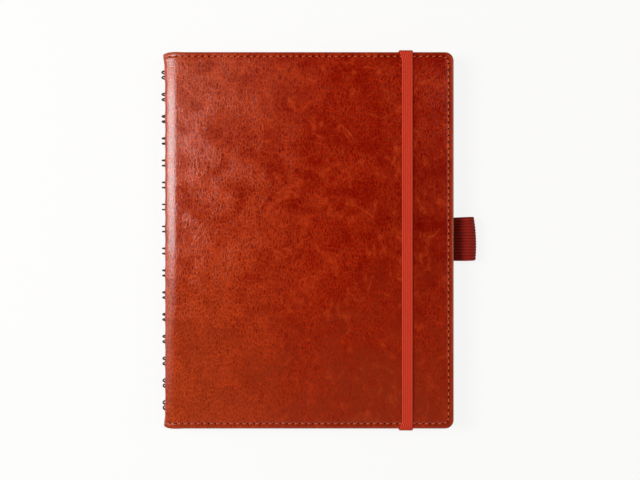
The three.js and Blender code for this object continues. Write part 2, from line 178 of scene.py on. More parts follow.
# Name, place, what it points at, size, watts and colour
LAMPS = (
    ("left softbox", (-0.51, 0.1, 0.745), (0, 0.02, 0), (0.3, 0.4), 4.55, (1, 1, 1)),
    ("left fill", (-0.82, 0.1, 0.5), (0, 0, 0), (0.7, 0.9), 3.6, (1, 0.93, 0.82)),
    ("right fill", (0.64, 0.1, 0.6), (0, 0, 0), (0.6, 0.9), 2.6, (1, 0.88, 0.76)),
    ("front card", (0, -0.75, 0.75), (0, 0, 0), (1.2, 0.9), 1.7, (1, 1, 1)),
    ("sheen card", (-0.33, 0.3, 0.9), (-0.05, 0.05, 0), (0.3, 0.5), 0.25, (1, 0.86, 0.62)),
)


def srgb(code):
    parts = [int(code[i:i + 2], 16) / 255 for i in (1, 3, 5)]
    return [c / 12.92 if c <= 0.04045 else ((c + 0.055) / 1.055) ** 2.4 for c in parts] + [1]


# Materials


class Nodes:
    """A node tree whose nodes are made by short calls."""

    def __init__(self, tree):
        self.tree = tree

    def set(self, socket, value):
        if isinstance(value, bpy.types.NodeSocket):
            self.tree.links.new(value, socket)
        else:
            socket.default_value = value

    def node(self, kind, **inputs):
        made = self.tree.nodes.new(kind)
        for name, value in inputs.items():
            self.set(made.inputs[name.replace("_", " ")], value)
        return made

    def math(self, operation, *values):
        """An operation on one value, or on two or more from left to right."""
        found = values[0]
        for value in values[1:] or (0.0,):
            made = self.tree.nodes.new("ShaderNodeMath")
            made.operation = operation
            self.set(made.inputs[0], found)
            self.set(made.inputs[1], value)
            found = made.outputs[0]
        return found

    def times(self, *values):
        return self.math("MULTIPLY", *values) if len(values) > 1 else values[0]

    def most(self, *values):
        return self.math("MAXIMUM", *values)

    def span(self, value, low, high, to_low=0.0, to_high=1.0):
        made = self.node(
            "ShaderNodeMapRange", Value=value, From_Min=low, From_Max=high, To_Min=to_low, To_Max=to_high
        )
        return made.outputs["Result"]

    def seen(self):
        """1 for what the camera, mirrors and glass show, 0 for the light that falls on things."""
        rays = self.tree.nodes.new("ShaderNodeLightPath").outputs
        return self.most(rays["Is Camera Ray"], rays["Is Glossy Ray"], rays["Is Transmission Ray"])

    def show_mixed(self, share, first, second, output):
        choice = self.node("ShaderNodeMixShader", Fac=share)
        self.set(choice.inputs[1], first.outputs[0])
        self.set(choice.inputs[2], second.outputs[0])
        self.set(self.tree.nodes[output].inputs["Surface"], choice.outputs[0])


class Material(Nodes):
    """A Principled material."""

    def __init__(self, name, roughness=0.5, **sockets):
        self.made = bpy.data.materials.new(name)
        self.made.use_nodes = True
        super().__init__(self.made.node_tree)
        self.shader = self.tree.nodes["Principled BSDF"]
        self.shader.inputs["Roughness"].default_value = roughness
        for socket, value in sockets.items():
            self.shader.inputs[socket.replace("_", " ")].default_value = value

    def place(self, scale=(1, 1, 1), uv=None):
        """The surface's own coordinates in millimetres, stretched by scale."""
        if uv:
            source = self.tree.nodes.new("ShaderNodeUVMap")
            source.uv_map = uv
            found = source.outputs["UV"]
        else:
            found = self.tree.nodes.new("ShaderNodeTexCoord").outputs["Object"]
            scale = [s / MM for s in scale]
        return self.node("ShaderNodeMapping", Vector=found, Scale=scale).outputs["Vector"]

    def noise(self, vector, scale, detail=3.0, rough=0.5, distortion=0.0):
        made = self.node(
            "ShaderNodeTexNoise", Vector=vector, Scale=scale, Detail=detail, Roughness=rough,
            Distortion=distortion,
        )
        return made.outputs["Fac"]

    def vector(self, operation, *values):
        made = self.tree.nodes.new("ShaderNodeVectorMath")
        made.operation = operation
        for socket, value in zip(made.inputs, values):
            self.set(socket, value)
        return made.outputs["Vector"]

    def mix(self, share, a, b):
        made = self.tree.nodes.new("ShaderNodeMix")
        made.data_type = "RGBA"
        self.set(made.inputs["Factor"], share)
        self.set(made.inputs["A"], a)
        self.set(made.inputs["B"], b)
        return made.outputs["Result"]

    def layer(self, colour, code, *shares):
        """A colour with another one laid over it, by the product of the shares."""
        return self.mix(self.times(*shares), colour, srgb(code))

    def ramp(self, value, stops):
        made = self.node("ShaderNodeValToRGB", Fac=value)
        elements = made.color_ramp.elements
        for i, (place, colour) in enumerate(stops):
            element = elements[i] if i < 2 else elements.new(place)
            element.position = place
            element.color = srgb(colour)
        return made.outputs["Color"]

    def bump(self, height, distance, strength, normal=None):
        made = self.node("ShaderNodeBump", Height=height, Distance=distance, Strength=strength)
        if normal is not None:
            self.set(made.inputs["Normal"], normal)
        return made.outputs["Normal"]

    def finish(self, colour=None, roughness=None, normal=None):
        for socket, value in (("Base Color", colour), ("Roughness", roughness), ("Normal", normal)):
            if value is not None:
                self.set(self.shader.inputs[socket], value)
        return self.made


def leather_material():
    """Glazed cowhide look: a net of grain, wrinkles and bundles of creases on cloudy tones."""
    m = Material("cognac leather", Specular_IOR_Level=0.0, Coat_Weight=0.95, Coat_Roughness=0.15)
    plain = m.place((1, 1, 1), "leather")
    place = m.node("ShaderNodeSeparateXYZ", Vector=plain).outputs
    from_middle = m.math("ABSOLUTE", place["X"])

    def ridges(scale, stretch, detail, sharpness):
        """Thin lines of 1 on 0, drawn out along the height of the book."""
        warped = m.noise(m.place((1.0, stretch, 1), "leather"), scale, detail, rough=0.65, distortion=0.8)
        apart = m.math("ABSOLUTE", m.math("SUBTRACT", m.times(warped, 2.0), 1.0))
        return m.math("POWER", m.math("SUBTRACT", 1.0, apart), sharpness)

    def pebbles(scale, stretch, bend, width):
        """The lines of a net of uneven cells, 1 on the line and 0 inside a cell."""
        shift = m.node("ShaderNodeTexNoise", Vector=plain, Scale=scale * 0.6).outputs["Color"]
        bent = m.vector("MULTIPLY_ADD", shift, (bend, bend, 0), plain)
        drawn = m.vector("MULTIPLY", bent, (1, stretch, 1))
        net = m.node("ShaderNodeTexVoronoi", Vector=drawn, Scale=scale)
        net.feature = "DISTANCE_TO_EDGE"
        net.voronoi_dimensions = "2D"
        return m.span(net.outputs["Distance"], 0.0, width, 1.0, 0.0)

    def spot(x, y, wide, high):
        """1 at a place on the leather, falling to 0 at wide and high from it."""
        moved = m.vector("SUBTRACT", plain, (x, y, 0))
        round_fall = m.node("ShaderNodeTexGradient", Vector=m.vector("DIVIDE", moved, (wide, high, 1)))
        round_fall.gradient_type = "SPHERICAL"
        return round_fall.outputs["Fac"]

    # Where things are: slow changes of tone, the calm part near the tail (lighter, partly painted sheen),
    # the darker places
    clouds = m.noise(plain, scale=0.03, detail=4, rough=0.55, distortion=0.5)
    patches = m.noise(plain, scale=0.085, detail=7, rough=0.66, distortion=0.8)
    where = m.noise(plain, scale=0.06, detail=4, rough=0.6, distortion=0.6)
    fine = m.noise(plain, scale=1.6, detail=4, rough=0.75)
    lively = m.span(m.math("ADD", place["Y"], m.times(clouds, 160.0)), 0.0, 80.0, CALM, 1.0)
    shade = spot(*FORE_EDGE_SHADE)

    # Grain and wrinkles, where the finish is pulled thin and lighter
    unshaded = m.math("SUBTRACT", 1.0, m.times(shade, 0.8))
    grained = m.times(m.span(where, 0.36, 0.6, 0.42, 0.88), lively, unshaded)
    coarse_net = pebbles(scale=0.62, stretch=0.5, bend=3.0, width=0.15)
    small_net = pebbles(scale=1.0, stretch=0.55, bend=2.5, width=0.2)
    net = m.times(m.most(coarse_net, m.times(small_net, 0.4)), grained)
    wrinkles = m.times(
        m.most(
            ridges(scale=0.12, stretch=0.5, detail=5, sharpness=30.0),
            ridges(scale=0.3, stretch=0.42, detail=4, sharpness=12.0),
            ridges(scale=0.42, stretch=0.17, detail=3, sharpness=26.0),
        ),
        m.span(where, 0.36, 0.58, 0.25, 1.0),
        # stronger towards the spine, a painted sheen on top of the real wrinkles
        m.span(from_middle, 20.0, 110.0, 1.0, 0.4),
    )
    bundles = m.times(
        ridges(scale=0.055, stretch=0.8, detail=8, sharpness=11.0), m.span(patches, 0.46, 0.6, 0.0, 0.78)
    )
    wrinkles = m.times(m.most(wrinkles, bundles), lively)
    creases = m.times(pebbles(scale=0.05, stretch=0.7, bend=12.0, width=0.02), m.span(patches, 0.46, 0.6))
    past_side = m.math("SUBTRACT", from_middle, FLAT_END / MM)
    past_end = m.math("SUBTRACT", m.math("ABSOLUTE", place["Y"]), HEAD_Y / MM)
    rubbed = m.span(m.most(past_side, past_end), -1.6, 0.4)

    colour = m.mix(PATCH_SHARE, m.ramp(clouds, CLOUD_RAMP), m.ramp(patches, PATCH_RAMP))
    # Partly painted sheen: the calm leather near the tail is lighter and more orange.
    colour = m.layer(colour, CALM_TONE_WITH_SHEEN, m.span(lively, CALM, 1.0, 0.8, 0.0))
    colour = m.layer(colour, MIDDLE_SHADE_TONE, spot(*MIDDLE_SHADE), 0.5)
    colour = m.layer(colour, FORE_EDGE_SHADE_TONE, shade, 0.95)
    colour = m.layer(colour, PORE_TONE, m.span(fine, 0.3, 0.5, 0.45, 0.0))
    colour = m.layer(colour, GRAIN_TONE, grained, 0.87)
    # Painted sheen: the net's lines grow lighter and more orange towards the spine.
    near_spine_sheen = m.span(from_middle, 10.0, 90.0, 1.0, 0.0)
    colour = m.mix(net, colour, m.mix(near_spine_sheen, srgb(NET_TONE), srgb(NET_TONE_AND_SHEEN_AT_SPINE)))
    colour = m.layer(colour, CREASE_TONE, creases, 0.2)
    colour = m.layer(colour, WRINKLE_TONE, wrinkles, 0.8)
    colour = m.layer(colour, RUBBED_TONE, rubbed, 0.75)

    height = m.math("SUBTRACT", m.times(fine, 0.4), m.times(net, 0.5))
    height = m.math("ADD", height, m.times(wrinkles, 0.5))
    swell = m.noise(m.place((1.0, 0.35, 1), "leather"), scale=0.07, detail=3, rough=0.5)
    slow = m.bump(swell, 0.5 * MM, 0.32)
    m.set(m.shader.inputs["Coat Normal"], m.bump(height, 0.055 * MM, 0.7, slow))
    roughness = m.span(m.noise(plain, scale=0.3, detail=4, rough=0.6), 0.3, 0.7, 0.46, 0.58)
    return m.finish(colour, roughness, m.bump(height, 0.16 * MM, 0.9, slow))


def cloth_material(name, light, dark, rib_axis, rib_pitch, rib_strength):
    """Ribbed webbing: ribs lie side by side along rib_axis (0 x, 1 y), with a fine weave between."""
    m = Material(name, 0.85, Specular_IOR_Level=0.2, Sheen_Weight=0.08, Sheen_Roughness=0.5)
    place = m.place((1, 1, 1), "weave")
    parts = m.node("ShaderNodeSeparateXYZ", Vector=place).outputs
    weave_pitch = 0.55
    wave = m.math("SINE", m.times(parts[rib_axis], 2 * math.pi / rib_pitch))
    weave = m.math("SINE", m.times(parts[1 - rib_axis], 2 * math.pi / weave_pitch))
    fibre = m.noise(place, scale=4.0, detail=4, rough=0.7)
    # Painted shade and highlight: the colour follows the height of the ribs and weave, darker in the
    # grooves and lighter on the tops; the fibre noise is the cloth's own tone.
    tone = m.math("ADD", m.times(wave, 0.25 * rib_strength), m.times(weave, 0.12), fibre)
    colour = m.mix(m.span(tone, 0.1, 0.9), srgb(dark), srgb(light))
    height = m.math("ADD", m.times(wave, 0.5 * rib_strength), m.times(weave, 0.3), m.times(fibre, 0.6))
    return m.finish(colour, None, m.bump(height, 0.06 * MM, 0.8))


def wire_material():
    m = Material("dark coated wire", 0.5, Specular_IOR_Level=0.2)
    wear = m.noise(m.place(), scale=1.2, detail=3, rough=0.6)
    colour = m.mix(m.span(wear, 0.4, 0.7), srgb("#0e0f0d"), srgb("#1e1f1c"))
    return m.finish(colour, m.span(wear, 0.3, 0.7, 0.42, 0.56))


def thread_material():
    m = Material("orange thread", 0.8, Specular_IOR_Level=0.15)
    twist = m.noise(m.place(), scale=5.0, detail=2, rough=0.5)
    return m.finish(m.mix(twist, srgb("#bc451e"), srgb("#ee8158")), None, m.bump(twist, 0.05 * MM, 0.6))


# Painted shade: near-black discs laid just over the leather stand in for the shade inside stitch holes and
# wire slits.
def shadow_material():
    m = Material("painted shade inside a hole", 0.95, Specular_IOR_Level=0.1)
    fibre = m.noise(m.place(), scale=6.0, detail=2, rough=0.5)
    return m.finish(m.mix(fibre, srgb("#160503"), srgb("#2a0b06")))


def paper_material(name, light, dark):
    """Cream paper. The edges show the single sheets as fine lines, darkened as painted shade between them.
    """
    m = Material(name, 0.85, Specular_IOR_Level=0.25)
    normal = m.tree.nodes.new("ShaderNodeTexCoord").outputs["Normal"]
    upright = m.math("ABSOLUTE", m.node("ShaderNodeSeparateXYZ", Vector=normal).outputs["Z"])
    sheets = m.noise(m.place((0.02, 0.02, 9.0)), scale=1.0, detail=3, rough=0.6)
    lines = m.times(m.span(sheets, 0.35, 0.6, 1.0, 0.0), m.math("SUBTRACT", 1.0, upright))
    fibre = m.noise(m.place(), scale=0.8, detail=5, rough=0.6)
    colour = m.mix(m.span(fibre, 0.3, 0.7), srgb(light), srgb(dark))
    # Painted shade in the gaps between the sheets.
    colour = m.layer(colour, "#9c8f78", lines, 0.45)
    height = m.math("SUBTRACT", m.times(fibre, 0.2), lines)
    return m.finish(colour, None, m.bump(height, 0.05 * MM, 0.5))


def lining_material():
    m = Material("dark cover lining", 0.62, Specular_IOR_Level=0.35)
    grain = m.noise(m.place(), scale=1.6, detail=5, rough=0.65)
    colour = m.mix(m.span(grain, 0.3, 0.7), srgb("#4a2418"), srgb("#5c3122"))
    return m.finish(colour, None, m.bump(grain, 0.06 * MM, 0.6))


def board_material():
    m = Material("grey board", 0.9)
    grain = m.noise(m.place(), scale=1.2, detail=5, rough=0.7)
    return m.finish(m.mix(grain, srgb("#8d877c"), srgb("#a59f93")))


# Mesh building


def mesh_object(name, points, faces, material, uv_name=None, uv=None):
    mesh = bpy.data.meshes.new(name)
    mesh.from_pydata([tuple(p) for p in points], [], faces)
    mesh.polygons.foreach_set("use_smooth", [True] * len(mesh.polygons))
    if uv_name:
        layer = mesh.uv_layers.new(name=uv_name)
        index = np.zeros(len(mesh.loops), np.int32)
        mesh.loops.foreach_get("vertex_index", index)
        layer.data.foreach_set("uv", np.asarray(uv, np.float32)[index].ravel())
    mesh.validate()
    mesh.update()
    made = bpy.data.objects.new(name, mesh)
    mesh.materials.append(material)
    bpy.context.scene.collection.objects.link(made)
    return made


def tube_faces(count, rows):
    """Quads between rings of points that follow one another, and a face over each end."""
    faces = []
    for r in range(rows - 1):
        for i in range(count):
            a, b = r * count + i, r * count + (i + 1) % count
            faces.append((a, b, b + count, a + count))
    faces.append(tuple(reversed(range(count))))
    faces.append(tuple(range((rows - 1) * count, rows * count)))
    return faces


def direction_at(route, i):
    return (route[min(i + 1, len(route) - 1)] - route[max(i - 1, 0)]).normalized()


# The leather's shape


def loop_y(index):
    return (index - (LOOP_COUNT - 1) / 2) * LOOP_PITCH


def spine_curve():
    """Points (x, height above the middle, normal x, normal z) from the middle of the spine to the flat."""
    shares, tilts = zip(*SPINE_TILTS)

    def tilt_at(step):
        return math.radians(np.interp(1 - step / SPINE_STEPS, shares, tilts))

    x, z, points = 0.0, 0.0, []
    for i in range(SPINE_STEPS + 1):
        if i:
            x, z = x + math.cos(tilt_at(i - 0.5)), z + math.sin(tilt_at(i - 0.5))
        points.append((x, z, tilt_at(i)))
    across, up = SPINE_ROUND / x, MIDDLE_Z / z
    found = []
    for x, z, tilt in points:
        normal = Vector((-math.sin(tilt) / across, math.cos(tilt) / up)).normalized()
        found.append([SPINE_X + across * x, up * z, normal.x, normal.y])
    return found


def spine_offset(y, outward):
    """How far the leather stands out from its plain curve at y. outward is 1 on the spine, 0 on top."""
    from_head, from_tail = max(HEAD_Y - y, 0), max(HEAD_Y + y, 0)
    flare = HEAD_FLARE * math.exp(-from_head / HEAD_FLARE_LENGTH)
    flare += TAIL_FLARE * math.exp(-from_tail / TAIL_FLARE_LENGTH)
    wave = 0.0
    if abs(y) < loop_y(LOOP_COUNT - 1) + LOOP_PITCH / 2:
        wave = WAVE * math.cos(2 * math.pi * (y - loop_y(0)) / LOOP_PITCH)
    return (flare + wave) * outward


def profile():
    """Stations across the cover: x, height above the middle, normal x, normal z and arc length."""
    stations = spine_curve()
    flat_start = SPINE_X + SPINE_ROUND
    flat = FORE_EDGE_X - CORNER_RADIUS - flat_start
    places = [flat_start + flat * i / FLAT_STEPS for i in range(1, FLAT_STEPS + 1)]
    places += [FORE_EDGE_X - inset for inset in EDGE_INSETS]
    stations += [[x, MIDDLE_Z, 0.0, 1.0] for x in places]
    length = 0.0
    for i, s in enumerate(stations):
        if i:
            length += math.hypot(s[0] - stations[i - 1][0], s[1] - stations[i - 1][1])
        s.append(length)
    return stations


def row_places():
    """Rows from tail to head, with the same insets at both ends as at the fore-edge."""
    inner = HEAD_Y - CORNER_RADIUS
    ends = [HEAD_Y - inset for inset in EDGE_INSETS]
    middle = [inner * (2 * i / UPRIGHT_STEPS - 1) for i in range(UPRIGHT_STEPS + 1)]
    return [-y for y in reversed(ends)] + middle + ends


def seam_dent(inset):
    return -SEAM_DEPTH * math.exp(-(((inset - SEAM_INSET) / SEAM_WIDTH) ** 2))


def round_corner(dx, dy):
    """A point of the square corner moved onto arcs round the corner's centre, and its direction."""
    reach = max(dx, dy)
    turn = (math.pi / 4) * (dy / dx) if dx >= dy else math.pi / 2 - (math.pi / 4) * (dx / dy)
    return reach * math.cos(turn), reach * math.sin(turn), (math.cos(turn), math.sin(turn))


def depth_at(x):
    """The thickness of the leather shell: thin round the spine, as deep as the board past it."""
    share = min(max((x - (SPINE_X + SPINE_ROUND)) / (BOARD_START_X - SPINE_X - SPINE_ROUND), 0), 1)
    share = share * share * (3 - 2 * share)
    return SPINE_LEATHER + (COVER_DEPTH + LINING_OVERLAP - SPINE_LEATHER) * share


def leather_point(station, y):
    """Point, surface normal and outline direction of the leather at a station and a row."""
    x, z, nx, nz, _ = station
    dx = x - (FORE_EDGE_X - CORNER_RADIUS)
    dy = abs(y) - (HEAD_Y - CORNER_RADIUS)
    sign = 1 if y >= 0 else -1
    inset = min(FORE_EDGE_X - x, HEAD_Y - abs(y))
    edge = (0.0, sign) if FORE_EDGE_X - x > HEAD_Y - abs(y) else (1.0, 0.0)
    if dx > 0 and dy > 0:
        px, py, way = round_corner(dx, dy)
        x, y = FORE_EDGE_X - CORNER_RADIUS + px, sign * (HEAD_Y - CORNER_RADIUS + py)
        edge = (way[0], sign * way[1])
        inset = CORNER_RADIUS - max(dx, dy)
    out = -spine_offset(y, -nx) if nx < 0 else 0.0
    dent = seam_dent(inset + HEAD_SEAM_SHIFT if edge == (0.0, 1) else inset)
    round_share = min(max(1 - (x - SPINE_X) / SPINE_ROUND, 0), 1)
    from_head, from_tail = HEAD_Y - y, HEAD_Y + y
    press = HEAD_ROLL * max(1 - from_head / HEAD_ROLL_LENGTH, 0) ** 2 * round_share * nz
    pull = HEAD_PULL * round_share ** 4 * math.exp(-from_head / HEAD_PULL_LENGTH)
    pull -= TAIL_PULL * round_share ** 4 * math.exp(-from_tail / TAIL_PULL_LENGTH)
    return (
        Vector((x + out + nx * dent, y - pull, z + nz * dent - press)),
        Vector((nx, 0, nz)),
        Vector((edge[0], edge[1], 0)),
    )


def rim_point(ring, p, n, edge):
    """A point of the rounded rim. The rings go from the face of the leather to its inside."""
    depth = depth_at(p.x)
    drop = min(RIM, depth / 2)
    if ring <= RIM_STEPS:
        turn = (math.pi / 2) * (ring / RIM_STEPS)
        return p + edge * RIM * math.sin(turn) - n * drop * (1 - math.cos(turn))
    if ring == RIM_STEPS + 1:
        return p + edge * RIM - n * (depth - drop * RIM_LIFT)
    return p + edge * RIM * RIM_TUCK - n * depth


def leather_skin(name, side):
    """The leather of one cover and its half of the spine, as a closed shell."""
    stations, rows = profile(), row_places()
    columns, count = len(stations), len(rows)
    size = columns * count
    top, under, uvs = [], [], []
    for s in stations:
        for y in rows:
            p, n, _ = leather_point(s, y)
            top.append(p)
            under.append(p - n * depth_at(p.x))
            uvs.append((side * s[4] / MM, y / MM))
    points = top + under
    uvs = uvs * 2
    faces = []
    for c in range(columns - 1):
        for r in range(count - 1):
            a = c * count + r
            faces.append((a, a + count, a + count + 1, a + 1))
            faces.append((size + a, size + a + 1, size + a + count + 1, size + a + count))
    # The rim: along the tail, up the fore-edge and back along the head
    border = [(c, 0) for c in range(columns)]
    border += [(columns - 1, r) for r in range(1, count)]
    border += [(c, count - 1) for c in range(columns - 2, -1, -1)]
    uv_step = 0.3
    rings = [[c * count + r for c, r in border]]
    for k in range(1, RIM_STEPS + 3):
        ring = []
        for c, r in border:
            p, n, edge = leather_point(stations[c], rows[r])
            u, v = uvs[c * count + r]
            ring.append(len(points))
            points.append(rim_point(k, p, n, edge))
            uvs.append((u + side * edge.x * k * uv_step, v + edge.y * k * uv_step))
        rings.append(ring)
    rings.append([size + c * count + r for c, r in border])
    for inner, outer in zip(rings, rings[1:]):
        for i in range(len(border) - 1):
            faces.append((inner[i], outer[i], outer[i + 1], inner[i + 1]))
    placed = [(p.x, p.y, MIDDLE_Z + side * p.z) for p in points]
    if side < 0:
        faces = [tuple(reversed(f)) for f in faces]
    made = mesh_object(name, placed, faces, LEATHER, "leather", uvs)
    return bend_at_fold(made)


def bend_at_fold(made):
    """Bakes the placement of a piece that lies on the leather into its mesh; nothing bends it at the fold.
    """
    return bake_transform(made)


def surface_at(length, y, side):
    """Point and normal on the leather at an arc length from the middle of the spine."""
    stations = profile()
    lengths = [s[4] for s in stations]
    station = [float(np.interp(length, lengths, [s[i] for s in stations])) for i in range(4)] + [length]
    p, n, _ = leather_point(station, y)
    return Vector((p.x, p.y, MIDDLE_Z + side * p.z)), Vector((n.x, 0, side * n.z)).normalized()


# Stitching


def seam_path(side):
    """Stitch holes round one cover: tail, fore-edge and head, cut straight across the corners."""
    end = FLAT_END + RIM - SEAM_INSET
    tail_y = -(HEAD_Y - SEAM_INSET)
    head_y = HEAD_Y - SEAM_INSET + HEAD_SEAM_SHIFT
    first = 0.5 * STITCH_PITCH
    along = end - CORNER_CUT - first
    number = round(along / STITCH_PITCH)
    lengths = [first + along * i / number for i in range(number + 1)]
    low, high = tail_y + CORNER_RISE, head_y - CORNER_RISE
    upright = round((high - low) / STITCH_PITCH)
    heights = [low + (high - low) * i / upright for i in range(upright + 1)]
    corner, inside = end - CORNER_HOLE[0], CORNER_HOLE[1]
    places = [(s, tail_y) for s in lengths] + [(corner, tail_y + inside)]
    places += [(end, y) for y in heights] + [(corner, head_y - inside)]
    places += [(s, head_y) for s in reversed(lengths)]
    return [surface_at(s, y, side) for s, y in places]


def stitch(start, finish, normal, sides=8):
    """A thread from hole to hole that dips into the leather at both ends, where it gets thin."""
    way = finish - start
    across = normal.cross(way).normalized()
    points = []
    for i in range(THREAD_STEPS + 1):
        share = i / THREAD_STEPS
        radius = THREAD_RADIUS * math.sin(math.pi * min(max(share, 0.03), 0.97)) ** 0.45
        centre = start + way * (THREAD_START + THREAD_SHARE * share)
        centre += across * THREAD_SLANT * (2 * share - 1)
        centre += normal * (THREAD_RISE * math.sin(math.pi * share) - THREAD_SINK)
        for k in range(sides):
            turn = 2 * math.pi * k / sides
            points.append(centre + (across * math.cos(turn) + normal * math.sin(turn)) * radius)
    return points, tube_faces(sides, THREAD_STEPS + 1)


def disc(centre, normal, along, half_length, half_width, lift, sides=12):
    across = normal.cross(along).normalized()
    way = across.cross(normal).normalized()
    centre = centre + normal * lift
    points = [centre]
    for k in range(sides):
        turn = 2 * math.pi * k / sides
        points.append(centre + way * half_length * math.cos(turn) + across * half_width * math.sin(turn))
    return points, [(0, 1 + k, 1 + (k + 1) % sides) for k in range(sides)]


def joined(parts):
    points, faces = [], []
    for more_points, more_faces in parts:
        start = len(points)
        points += more_points
        faces += [tuple(start + i for i in f) for f in more_faces]
    return points, faces


def stitching(name, side):
    holes = seam_path(side)
    threads = [stitch(a[0], b[0], (a[1] + b[1]).normalized()) for a, b in zip(holes, holes[1:])]
    # Painted shade: a dark disc over each stitch hole.
    hole_shade_discs = [
        disc(p, n, Vector((0, 1, 0)), STITCH_HOLE_RADIUS, STITCH_HOLE_RADIUS, STITCH_HOLE_LIFT)
        for p, n in holes
    ]
    for suffix, parts, material in (("threads", threads, THREAD), ("holes", hole_shade_discs, HOLE_SHADE)):
        made = mesh_object(name + "_" + suffix, *joined(parts), material)
        bend_at_fold(made)


def wire_slit_shades(name, side):
    """Painted shade: dark discs where the wire goes in, one for each wire in front, one for both at the
    back.
    """
    outside = [
        s for s in profile()
        if s[2] < 0 and s[1] > LOOP_RADIUS / 3 and math.hypot(s[0] - LOOP_CENTRE.x, s[1]) > LOOP_RADIUS
    ]
    length = outside[0][4]
    half = TWIN_SPACING / 2
    steps, size, sides = ((-half, half), FRONT_SLIT, 12) if side > 0 else ((0,), BACK_SLIT, 20)
    parts = []
    for k in range(LOOP_COUNT):
        for dy in steps:
            p, n = surface_at(length, loop_y(k) + dy, side)
            parts.append(disc(p, n, n.cross(Vector((0, 1, 0))), *size, SLIT_LIFT, sides))
    made = mesh_object(name, *joined(parts), HOLE_SHADE)
    bend_at_fold(made)


# Wire


def on_loop(angle, y):
    across, up = LOOP_RADIUS * math.cos(angle), LOOP_RADIUS * math.sin(angle)
    return Vector((LOOP_CENTRE.x - across, y, LOOP_CENTRE.z - up))


def wire_route():
    """Bridge, up round the loop, closed tip, back round the loop, and the next bridge."""
    depth = LOOP_CENTRE.x - SPINE_X
    bridge = math.acos((depth + WIRE_RADIUS + BRIDGE_CLEARANCE) / LOOP_RADIUS)
    half = TWIN_SPACING / 2
    bend = BRIDGE_BEND / LOOP_RADIUS
    tip = bridge + TIP_SEPARATION / LOOP_RADIUS + half / LOOP_RADIUS - 2 * math.pi
    leg_steps, bend_steps, tip_steps = 64, 6, 14
    route = [on_loop(bridge, loop_y(0) - half - WIRE_END)]

    def corner(y, sign):
        for i in range(bend_steps + 1):
            turn = (math.pi / 2) * (i / bend_steps)
            across = half + BRIDGE_BEND * (1 - math.sin(turn))
            yield on_loop(bridge - bend * (1 - math.cos(turn)), y + sign * across)

    def leg(y):
        for i in range(1, leg_steps):
            yield on_loop(bridge - bend + (tip - bridge + bend) * i / leg_steps, y)

    for k in range(LOOP_COUNT):
        y = loop_y(k)
        route += corner(y, -1)
        route += leg(y - half)
        for i in range(tip_steps + 1):
            turn = math.pi * i / tip_steps
            route.append(on_loop(tip - half / LOOP_RADIUS * math.sin(turn), y - half * math.cos(turn)))
        route += reversed(list(leg(y + half)))
        route += reversed(list(corner(y, 1)))
    route.append(on_loop(bridge, loop_y(LOOP_COUNT - 1) + half + WIRE_END))
    for point in route:
        from_middle = point.y / loop_y(LOOP_COUNT - 1)
        point.y += WIRE_SLANT * from_middle ** 3 * (point.z - LOOP_CENTRE.z)
        if point.x < SPINE_X:
            point.x = SPINE_X + (point.x - SPINE_X) * (1 + WIRE_STRETCH * from_middle)
    return route


def tube(route, radius, sides):
    points = []
    side = direction_at(route, 0).orthogonal()
    for i, point in enumerate(route):
        along = direction_at(route, i)
        side = (side - along * side.dot(along)).normalized()
        up = along.cross(side)
        for k in range(sides):
            turn = 2 * math.pi * k / sides
            points.append(point + (side * math.cos(turn) + up * math.sin(turn)) * radius)
    return points, tube_faces(sides, len(route))


def binding_wire():
    points, faces = tube(wire_route(), WIRE_RADIUS + WIRE_COAT, WIRE_SIDES)
    made = mesh_object("binding_wire_round", points, faces, WIRE)
    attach(made, "spine")
    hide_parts("binding_wire")


# Webbing


def webbing(name, stations, across, section, material, across_axis):
    """Each station is (inner point, outward direction, length along, shift by place across)."""
    points, uvs = [], []
    for point, outwards, along, shift in stations:
        for s, t in section:
            points.append(point + across * s + shift(s) + outwards * t)
            uvs.append((s / MM, along / MM) if across_axis == 0 else (along / MM, s / MM))
    return mesh_object(name, points, tube_faces(len(section), len(stations)), material, "weave", uvs)


def ribbed_section(width, thickness, ribs, rib_depth):
    """Rounded edges, ribs on the outer face, flat inside. Pairs of (across, outwards)."""
    half, edge = width / 2, thickness / 2
    start = half - edge * 0.6  # the faces start here, and the rounded edges fill the rest
    rib_steps, inner_steps = 6, 8
    number = ribs * rib_steps
    outer = []
    for i in range(number + 1):
        ridge = 0.5 + 0.5 * math.cos(2 * math.pi * i / rib_steps)
        outer.append((-start + 2 * start * i / number, thickness - rib_depth * ridge))
    shoulder = half - edge * 0.1
    right = [(shoulder, thickness * 0.7), (half, edge), (shoulder, thickness * 0.3)]
    left = [(-s, t) for s, t in reversed(right)]
    inner = [(start - 2 * start * i / inner_steps, 0.0) for i in range(inner_steps + 1)]
    return outer + right + inner + left


